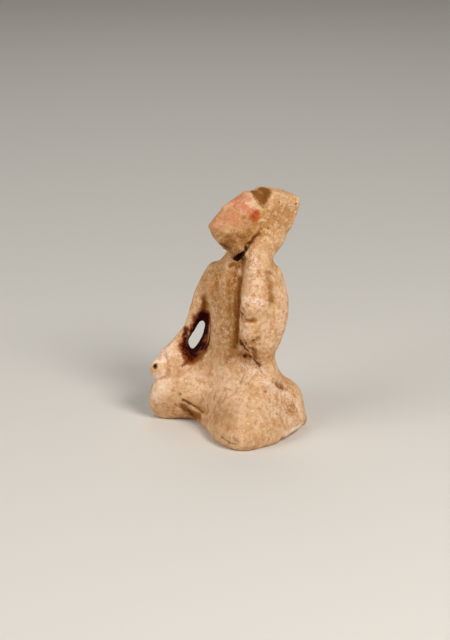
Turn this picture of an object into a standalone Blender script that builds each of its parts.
"""A seated pottery musician, modelled by hand in one piece of clay and fired.

The figure faces -Y with +Z up, and rests on its flat underside at z = 0.
Lumps and rolls of clay are laid together, kneaded into one skin, cut with a few tools
and trimmed flat below, the way a potter would make the real one.
"""

import math

import bmesh
import bpy
from mathutils import Euler, Matrix, Vector

# Driving dimensions, in metres. The whole pose follows the height.
HEIGHT = 0.120
STICK_HOLE_DIAMETER = 0.0012
STICK_HOLE_DEPTH = 0.0030

# The pose is given in shares of the height: 113 shares from the table to the top of the cap.
SHARE = HEIGHT / 113.0

RIGHT_FIST = (-30.7, -18.1, 25.0)
RIGHT_FIST_RADII = (4.7, 4.6, 5.2)
STICK_AIM = (0.25, -0.70, 0.52)

# A drawn line follows the skin at this many places in each stretch of its route.
STEPS_PER_STRETCH = 4

# How the clay is worked, in the same shares.
COARSE_GRAIN = 0.85
FINE_GRAIN = 0.62
LINE_GRAIN = 0.25
TRIANGLES = 9300

# The head is thrown back and turned a little to the figure's right.
HEAD_CENTRE = (0.0, 4.7, 99.3)
HEAD_PITCH = math.radians(55.0)
HEAD_TURN = math.radians(25.0)

CLAY_COLOUR = (0.62, 0.45, 0.30, 1.0)
CLAY_ROUGHNESS = 0.85


def clear_scene():
    """Remove whatever the scene holds."""
    for thing in list(bpy.data.objects):
        bpy.data.objects.remove(thing)


def new_collection(name):
    """Return a new collection that the scene shows."""
    collection = bpy.data.collections.new(name)
    bpy.context.scene.collection.children.link(collection)
    return collection


def placed(centre, turn=(0.0, 0.0, 0.0), head=False):
    """Return the matrix that puts a lump at centre, turned by degrees about x, y and z."""
    angles = Euler([math.radians(angle) for angle in turn])
    local = Matrix.Translation(Vector(centre)) @ angles.to_matrix().to_4x4()
    return head_frame() @ local if head else local


def head_frame():
    """Return the head's own frame: x to its left, -y out of the face, z to the crown."""
    turned = Matrix.Rotation(-HEAD_TURN, 4, "Z") @ Matrix.Rotation(-HEAD_PITCH, 4, "X")
    return Matrix.Translation(Vector(HEAD_CENTRE)) @ turned


def mesh_object(name, work, collection):
    """Turn a bmesh in shares of the height into an object in metres."""
    work.transform(Matrix.Scale(SHARE, 4))
    mesh = bpy.data.meshes.new(name)
    work.to_mesh(mesh)
    work.free()
    thing = bpy.data.objects.new(name, mesh)
    collection.objects.link(thing)
    return thing


def lump(name, centre, radii, turn=(0.0, 0.0, 0.0), head=False, collection=None):
    """A pressed ball of clay: an ellipsoid with its own three radii."""
    work = bmesh.new()
    bmesh.ops.create_uvsphere(work, u_segments=32, v_segments=18, radius=1.0)
    work.transform(placed(centre, turn, head) @ Matrix.Diagonal((*radii, 1.0)))
    return mesh_object(name, work, collection or CLAY)


def wrap(name, balls, head=False, collection=None):
    """A mass of clay with rounded edges: a skin drawn tight round balls of (x, y, z, radius)."""
    work = bmesh.new()
    frame = head_frame() if head else Matrix()
    for x, y, z, radius in balls:
        ball = Matrix.Translation(frame @ Vector((x, y, z)))
        bmesh.ops.create_uvsphere(work, u_segments=16, v_segments=10, radius=radius, matrix=ball)
    hull = bmesh.ops.convex_hull(work, input=work.verts[:])
    inside = [item for item in hull["geom_interior"] if isinstance(item, bmesh.types.BMVert)]
    bmesh.ops.delete(work, geom=inside, context="VERTS")
    return mesh_object(name, work, collection or CLAY)


def roll(name, route, thickness, head=False):
    """A rolled coil along a smooth route, with its own radius at each point and round ends."""
    curve = bpy.data.curves.new(name, "CURVE")
    curve.dimensions = "3D"
    curve.resolution_u = 8
    curve.bevel_depth = SHARE
    curve.bevel_resolution = 5
    curve.use_fill_caps = True
    spline = curve.splines.new("BEZIER")
    spline.bezier_points.add(len(route) - 1)
    frame = head_frame() if head else Matrix()
    for knot, place, radius in zip(spline.bezier_points, route, thickness):
        knot.co = (frame @ Vector(place)) * SHARE
        knot.radius = radius
        knot.handle_left_type = "AUTO"
        knot.handle_right_type = "AUTO"
    guide = bpy.data.objects.new(name, curve)
    CLAY.objects.link(guide)
    mesh = evaluated_mesh(guide)
    bpy.data.objects.remove(guide)
    work = bmesh.new()
    work.from_mesh(mesh)
    bmesh.ops.remove_doubles(work, verts=work.verts[:], dist=0.001 * SHARE)
    for place, radius in zip((route[0], route[-1]), (thickness[0], thickness[-1])):
        end = Matrix.Translation((frame @ Vector(place)) * SHARE)
        bmesh.ops.create_uvsphere(
            work, u_segments=24, v_segments=14, radius=radius * SHARE, matrix=end
        )
    work.to_mesh(mesh)
    work.free()
    thing = bpy.data.objects.new(name, mesh)
    CLAY.objects.link(thing)
    return thing


def stack(name, rings):
    """A trunk of clay: elliptical sections, one above another, joined into one skin."""
    work = bmesh.new()
    loops = []
    for x, y, z, half_width, half_depth in rings:
        section = Matrix.Translation((x, y, z)) @ Matrix.Diagonal((half_width, half_depth, 1.0, 1.0))
        made = bmesh.ops.create_circle(work, cap_ends=False, segments=40, radius=1.0, matrix=section)
        loops.append(made["verts"])
    for lower, upper in zip(loops, loops[1:]):
        loose = [edge for edge in work.edges if edge.is_wire or edge.is_boundary]
        rims = [edge for edge in loose if set(edge.verts) <= {*lower} or set(edge.verts) <= {*upper}]
        bmesh.ops.bridge_loops(work, edges=rims)
    work.faces.new(loops[0])
    work.faces.new(loops[-1])
    bmesh.ops.recalc_face_normals(work, faces=work.faces[:])
    return mesh_object(name, work, CLAY)


def evaluated_mesh(thing):
    """Return a new mesh of the object with its modifiers applied."""
    bpy.context.view_layer.update()
    graph = bpy.context.evaluated_depsgraph_get()
    return bpy.data.meshes.new_from_object(thing.evaluated_get(graph))


def knead(name, lumps, grain, passes, collection=None):
    """Press lumps together into one closed skin and smooth its joins with the thumb."""
    work = bmesh.new()
    for piece in lumps:
        work.from_mesh(piece.data)
        bpy.data.objects.remove(piece)
    mesh = bpy.data.meshes.new(name)
    work.to_mesh(mesh)
    work.free()
    thing = bpy.data.objects.new(name, mesh)
    (collection or CLAY).objects.link(thing)
    weld = thing.modifiers.new("weld", "REMESH")
    weld.mode = "VOXEL"
    weld.voxel_size = grain * SHARE
    weld.use_smooth_shade = True
    if passes:
        thumb = thing.modifiers.new("thumb", "SMOOTH")
        thumb.factor = 0.5
        thumb.iterations = passes
    thing.data = evaluated_mesh(thing)
    thing.modifiers.clear()
    close_pockets(thing.data)
    return thing


def close_pockets(mesh):
    """Fill any pocket shut in between lumps: only the outer skin is kept."""
    work = bmesh.new()
    work.from_mesh(mesh)
    unseen = set(work.verts)
    skins = []
    while unseen:
        reach = [unseen.pop()]
        skin = []
        while reach:
            vert = reach.pop()
            skin.append(vert)
            near = {edge.other_vert(vert) for edge in vert.link_edges} & unseen
            unseen -= near
            reach.extend(near)
        skins.append(skin)
    outer = max(skins, key=len)
    for skin in skins:
        if skin is not outer:
            bmesh.ops.delete(work, geom=skin, context="VERTS")
    work.to_mesh(mesh)
    work.free()


def make_trunk():
    """The robe over the chest and belly."""
    return [
        stack(
            "trunk",
            (
                (0.0, 8.0, 20.0, 21.0, 17.0),
                (-0.5, 7.0, 30.0, 18.5, 14.0),
                (-0.5, 5.5, 38.0, 16.5, 12.0),
                (0.0, 4.6, 48.0, 15.5, 11.0),
                (0.0, 4.6, 58.0, 16.0, 10.8),
                (0.0, 5.2, 67.0, 17.5, 10.5),
                (0.0, 5.6, 73.5, 15.8, 9.5),
                (-0.5, 5.6, 78.5, 11.0, 8.0),
                (-1.5, 6.0, 82.0, 7.0, 6.2),
            ),
        ),
        roll("neck", ((-1.0, 5.2, 72.0), (-3.4, 7.2, 82.0), (-1.0, 9.0, 92.0)), (7.6, 5.3, 6.5)),
        lump("neck_web", (3.5, 9.8, 86.0), (7.0, 4.5, 8.0)),
        lump("left_waist", (14.0, 1.5, 24.0), (10.0, 9.0, 9.0)),
        lump("right_flank", (-12.5, 1.5, 27.0), (10.0, 9.0, 10.0)),
        roll("left_flank", ((17.8, 2.6, 38.0), (16.8, 4.9, 28.0), (13.0, 8.0, 18.0)), (5.2, 7.4, 10.0)),
        lump("right_armpit", (-12.0, 1.5, 66.0), (6.5, 6.5, 9.0)),
    ]


def make_legs():
    """Folded legs under the robe: two knees set wide, the heels behind, and the lap between."""
    left_leg = (
        (22.0, -13.5, 9.0, 9.5),
        (17.5, -10.0, 12.5, 9.5),
        (4.0, -11.0, 6.0, 5.5),
        (-8.0, -2.0, 16.0, 8.0),
        (6.0, -1.0, 22.0, 7.0),
        (16.0, 7.0, 18.0, 9.0),
        (16.0, 17.0, 8.5, 9.5),
        (21.0, 21.5, 4.0, 4.6),
        (26.5, -1.0, 6.0, 6.5),
        (14.0, -4.0, 13.0, 11.0),
    )
    right_leg = (
        (-29.5, -16.0, 13.5, 7.8),
        (-31.8, -14.6, 5.5, 7.4),
        (-12.0, 2.0, 25.0, 9.0),
        (-16.0, 17.0, 8.5, 10.0),
        (-5.0, -3.0, 16.0, 8.0),
        (-26.0, 0.0, 7.0, 7.5),
    )
    return [
        wrap("left_leg", left_leg),
        wrap("right_leg", right_leg),
        lump("seat", (0.0, 12.0, 12.0), (24.0, 18.0, 15.0)),
        lump("base", (0.0, 6.0, 3.0), (24.0, 15.0, 9.0)),
        lump("left_heel", (16.6, 16.8, 11.0), (11.0, 10.2, 13.0)),
        lump("left_seat", (9.0, 20.0, 10.0), (12.5, 11.5, 12.0)),
        lump("right_heel", (-14.5, 16.5, 9.0), (12.0, 11.5, 11.0)),
        roll(
            "front_hem",
            (
                (-30.0, -12.0, 4.5),
                (-16.0, -4.5, 3.5),
                (-8.0, -8.2, 3.2),
                (0.0, -11.5, 4.0),
                (14.0, -18.5, 4.5),
                (24.0, -19.5, 5.5),
            ),
            (5.5, 4.6, 4.8, 5.2, 6.0, 6.2),
        ),
        roll(
            "left_hem",
            ((24.5, -17.5, 5.0), (27.0, -5.0, 5.0), (25.2, 10.0, 4.5), (21.5, 21.5, 3.0)),
            (7.1, 7.2, 7.2, 6.2),
        ),
    ]


def make_arms():
    """The right arm reaches down to its knee, and the left is folded up beside the head."""
    return [
        roll(
            "right_arm",
            (
                (-13.0, 4.0, 71.0),
                (-18.5, 0.8, 61.5),
                (-21.5, -2.2, 52.0),
                (-24.1, -4.1, 44.0),
                (-27.0, -7.8, 37.5),
                (-28.6, -11.6, 31.5),
            ),
            (6.5, 5.0, 3.9, 3.3, 3.4, 4.8),
        ),
        lump("wrist_web", (-23.8, -9.0, 29.5), (4.8, 4.5, 5.5)),
        lump("wrist_web_top", (-24.4, -6.6, 33.4), (2.9, 2.9, 3.4)),
        lump("armpit_web", (-20.6, 2.6, 51.5), (3.8, 3.6, 4.6)),
        roll(
            "sleeve_web",
            ((-15.5, 4.0, 61.0), (-17.6, 5.6, 51.0), (-18.2, 5.6, 43.5), (-19.6, 4.2, 35.0), (-22.6, -1.0, 28.8)),
            (4.5, 4.6, 4.4, 5.0, 3.8),
        ),
        wrap(
            "right_cuff",
            (
                (-30.2, -13.3, 31.4, 4.2),
                (-27.6, -11.0, 30.5, 3.9),
                (-26.6, -11.8, 26.5, 4.4),
                (-28.6, -14.6, 27.6, 4.2),
            ),
        ),
        roll(
            "left_upper_arm",
            ((14.5, 7.8, 74.0), (20.2, 7.2, 61.0), (20.2, 4.0, 49.0), (18.3, 2.6, 38.5)),
            (7.8, 7.0, 6.4, 4.6),
        ),
        roll("left_sleeve", ((18.0, 3.0, 74.0), (18.7, -0.6, 60.0), (18.8, -0.6, 45.0)), (6.4, 6.0, 5.2)),
        roll(
            "left_forearm",
            (
                (18.5, 1.0, 40.0),
                (17.0, -2.8, 50.0),
                (16.5, -2.8, 64.0),
                (15.0, 0.5, 76.0),
                (13.0, 5.5, 86.0),
                (12.0, 13.0, 93.0),
            ),
            (4.5, 5.6, 5.8, 5.8, 6.2, 7.6),
        ),
    ]


def make_head():
    """The skull with its chin up, and the throat below it."""
    return [
        lump("skull", (0.0, 1.2, 1.0), (10.8, 10.4, 15.5), head=True),
        lump("forehead", (0.0, -1.5, 8.5), (8.5, 7.6, 7.0), head=True),
        lump("jaw", (0.0, -0.8, -6.6), (8.4, 7.6, 8.2), head=True),
        lump("throat", (0.0, 5.0, -9.0), (5.5, 5.0, 5.5), head=True),
        lump("gullet", (3.9, -1.7, 87.4), (3.8, 3.8, 3.8)),
        lump("nape", (1.5, 9.5, 6.0), (11.0, 8.0, 11.0), head=True),
        wrap(
            "hand",
            (
                (8.0, 5.0, 7.0, 3.8),
                (8.0, 13.0, -2.0, 4.8),
                (7.0, 15.0, -4.0, 4.0),
                (7.0, 14.0, 9.0, 4.8),
                (8.2, 7.0, 16.0, 3.4),
                (8.4, 1.4, 12.5, 2.7),
            ),
            head=True,
        ),
    ]


def make_cap():
    """A flat-topped cap across the crown, low over the brow and higher behind."""
    cap = (
        (-8.0, 0.0, 14.0, 3.0),
        (8.0, 0.0, 14.0, 3.0),
        (-7.5, -1.0, 16.0, 3.0),
        (7.0, -1.0, 17.5, 3.0),
        (-8.5, 6.5, 23.3, 3.0),
        (8.5, 6.5, 24.3, 3.0),
        (-8.0, 13.0, 14.0, 3.5),
        (8.0, 13.0, 14.0, 3.5),
    )
    return [wrap("cap", cap, head=True)]


def make_hands():
    """Two fists: one on the right knee, one half way up the left sleeve."""
    left_cuff = ((16.7, -3.8, 57.0), (17.0, -3.8, 49.5), (18.0, -1.0, 44.0))
    return [
        lump("right_fist", RIGHT_FIST, RIGHT_FIST_RADII),
        lump("left_fist", (16.6, -4.4, 62.8), (5.4, 4.6, 6.0)),
        roll("left_cuff", left_cuff, (5.7, 5.5, 4.8)),
    ]


def make_face():
    """A calm, plain face, already rubbed soft: nose, lids, lips, chin and the free ear."""
    nose = ((0.0, -7.9, 3.5, 1.3), (0.0, -9.1, -3.2, 1.4), (1.4, -8.0, -3.8, 1.1), (-1.4, -8.0, -3.8, 1.1))
    features = [
        wrap("nose", nose, head=True),
        lump("lips", (0.0, -7.6, -7.6), (3.0, 1.2, 1.5), head=True),
        lump("chin", (0.0, -5.7, -11.4), (3.6, 2.0, 2.6), head=True),
        lump("free_ear", (-10.4, 2.0, -1.0), (1.6, 2.6, 3.8), turn=(0.0, 0.0, 20.0), head=True),
    ]
    for side in (-1.0, 1.0):
        features.append(lump("eyelid", (side * 4.2, -6.5, 1.2), (2.5, 1.5, 1.1), head=True))
    return features


def face_hollows():
    """The sockets under the brow, and the valley between lip and chin."""
    hollows = [
        lump("socket", (side * 4.1, -9.6, 1.4), (2.9, 2.1, 2.0), head=True, collection=TOOLS)
        for side in (-1.0, 1.0)
    ]
    hollows.append(lump("lip_valley", (0.0, -10.0, -9.8), (3.4, 1.8, 0.9), head=True, collection=TOOLS))
    return hollows


def throat_hollow():
    """The dark hollow between jaw, neck and raised arm."""
    slot = ((7.9, -0.7, 86.3, 1.6), (1.2, 6.0, 83.2, 1.6), (6.0, -2.6, 83.6, 2.2), (-0.7, 4.1, 80.5, 2.0))
    return [wrap("throat_hollow", slot, collection=TOOLS)]


def drawn_line(clay, name, route, depths, head=False):
    """A stick drawn through the damp clay: a thin coil that follows the skin near its route."""
    frame = head_frame() if head else Matrix()
    places = [frame @ Vector(place) for place in route]
    track = []
    radii = []
    for start, end, first, last in zip(places, places[1:], depths, depths[1:]):
        for step in range(STEPS_PER_STRETCH):
            share = step / STEPS_PER_STRETCH
            track.append(start.lerp(end, share))
            radii.append(first + (last - first) * share)
    track.append(places[-1])
    radii.append(depths[-1])
    skin = [clay.closest_point_on_mesh(place * SHARE)[1] / SHARE for place in track]
    return knead(name, [roll(name, skin, radii)], LINE_GRAIN, 0, TOOLS)


def scored_lines(clay):
    """The lines that part cap from head, jaw from hand, fist from sleeve, and fold from fold."""
    cap_hem = (
        (10.8, 3.2, 12.7),
        (7.4, -2.2, 11.5),
        (4.8, -4.9, 11.0),
        (0.0, -6.0, 11.0),
        (-4.8, -4.9, 11.0),
        (-7.4, -2.2, 11.5),
        (-10.4, 4.0, 11.8),
        (-9.5, 11.0, 10.5),
    )
    jaw_line = ((11.6, 5.5, 4.2), (11.3, 6.4, 0.8), (10.6, 7.4, -2.0), (8.6, 9.4, -4.8))
    sleeve_hem = ((16.6, -9.2, 58.5), (18.9, -8.8, 58.0), (22.4, -5.3, 58.9))
    right_cuff = ((-27.9, -16.7, 32.2), (-26.0, -16.6, 29.7), (-25.8, -16.2, 25.1))
    thigh_fold = ((-15.7, -16.8, 12.9), (-9.0, -12.3, 9.4), (1.7, -15.5, 10.2))
    hem_fold = ((17.5, -24.1, 5.0), (22.4, -24.5, 4.1), (25.6, -23.9, 3.8))
    return [
        drawn_line(clay, "cap_hem", cap_hem, (0.3, 0.8, 1.0, 1.0, 1.0, 0.9, 0.8, 0.3), head=True),
        drawn_line(clay, "jaw_line", jaw_line, (0.3, 0.8, 1.0, 1.1), head=True),
        drawn_line(clay, "sleeve_hem", sleeve_hem, (0.9, 0.9, 0.5)),
        drawn_line(clay, "right_cuff_line", right_cuff, (0.7, 0.8, 0.5)),
        drawn_line(clay, "thigh_fold", thigh_fold, (0.5, 1.1, 0.4)),
        drawn_line(clay, "hem_fold", hem_fold, (0.4, 0.8, 0.4)),
    ]


def carve(thing, tools):
    """Cut the tools out of the clay, and keep them beside it as hidden wires."""
    for tool in tools:
        tool.hide_render = True
        tool.display_type = "WIRE"
        cut = thing.modifiers.new(tool.name, "BOOLEAN")
        cut.operation = "DIFFERENCE"
        cut.object = tool
    thing.data = evaluated_mesh(thing)
    thing.modifiers.clear()
    return thing


def figure_solid():
    """Knead the figure in six goes, from the broad masses to the small ones."""
    legs = knead("legs", make_legs(), COARSE_GRAIN, 60)
    body = knead("body", [legs] + make_trunk(), COARSE_GRAIN, 25)
    armed = knead("armed", [body] + make_arms(), COARSE_GRAIN, 14)
    posed = knead("posed", [armed] + make_head(), COARSE_GRAIN, 9)
    carve(posed, face_hollows() + throat_hollow())
    worked = knead("worked", [posed] + make_cap() + make_hands() + make_face(), FINE_GRAIN, 5)
    carve(worked, scored_lines(worked))
    return knead("musician_figurine", [worked], FINE_GRAIN, 2)


def trim_and_thin(thing):
    """Slice the underside flat and thin the skin to its budget of triangles."""
    work = bmesh.new()
    work.from_mesh(thing.data)
    everything = work.verts[:] + work.edges[:] + work.faces[:]
    bmesh.ops.bisect_plane(
        work, geom=everything, dist=1e-7, plane_co=(0, 0, 0), plane_no=(0, 0, -1), clear_outer=True
    )
    rim = [edge for edge in work.edges if edge.is_boundary]
    bmesh.ops.edgeloop_fill(work, edges=rim)
    work.to_mesh(thing.data)
    count = sum(len(face.verts) - 2 for face in work.faces)
    work.free()
    thin = thing.modifiers.new("thin", "DECIMATE")
    thin.ratio = min(1.0, TRIANGLES / count)
    return thing


def clay_material():
    """Buff fired clay."""
    material = bpy.data.materials.new("fired_clay")
    material.use_nodes = True
    shader = material.node_tree.nodes["Principled BSDF"]
    shader.inputs["Base Color"].default_value = CLAY_COLOUR
    shader.inputs["Roughness"].default_value = CLAY_ROUGHNESS
    shader.inputs["Metallic"].default_value = 0.0
    return material


def bore_fist(thing):
    """Leave the small round pit in the right fist that held a stick: its mouth is on the fist's skin."""
    work = bmesh.new()
    bmesh.ops.create_cone(
        work,
        cap_ends=True,
        segments=16,
        radius1=STICK_HOLE_DIAMETER / 2,
        radius2=STICK_HOLE_DIAMETER / 2,
        depth=2 * STICK_HOLE_DEPTH,
    )
    aim = Vector(STICK_AIM).normalized()
    mouth = (Vector(RIGHT_FIST) + aim * RIGHT_FIST_RADII[0]) * SHARE
    work.transform(Matrix.Translation(mouth) @ aim.to_track_quat("Z", "Y").to_matrix().to_4x4())
    mesh = bpy.data.meshes.new("stick_bore")
    work.to_mesh(mesh)
    work.free()
    bore = bpy.data.objects.new("stick_bore", mesh)
    bore.hide_render = True
    bore.display_type = "WIRE"
    TOOLS.objects.link(bore)
    cut = thing.modifiers.new("stick_bore", "BOOLEAN")
    cut.operation = "DIFFERENCE"
    cut.object = bore


def stand_over_origin(thing):
    """Slide the figure and its tools so that the middle of the figure's box is over the origin."""
    corners = [vert.co for vert in evaluated_mesh(thing).vertices]
    low = Vector([min(corner[axis] for corner in corners) for axis in range(3)])
    high = Vector([max(corner[axis] for corner in corners) for axis in range(3)])
    middle = (low + high) / 2
    for moved in (*CLAY.objects, *TOOLS.objects):
        moved.location = (-middle.x, -middle.y, -low.z)


clear_scene()
CLAY = new_collection("musician_figurine")
TOOLS = new_collection("tools")
figure = trim_and_thin(figure_solid())
bore_fist(figure)
stand_over_origin(figure)
figure.data.materials.clear()
figure.data.materials.append(clay_material())
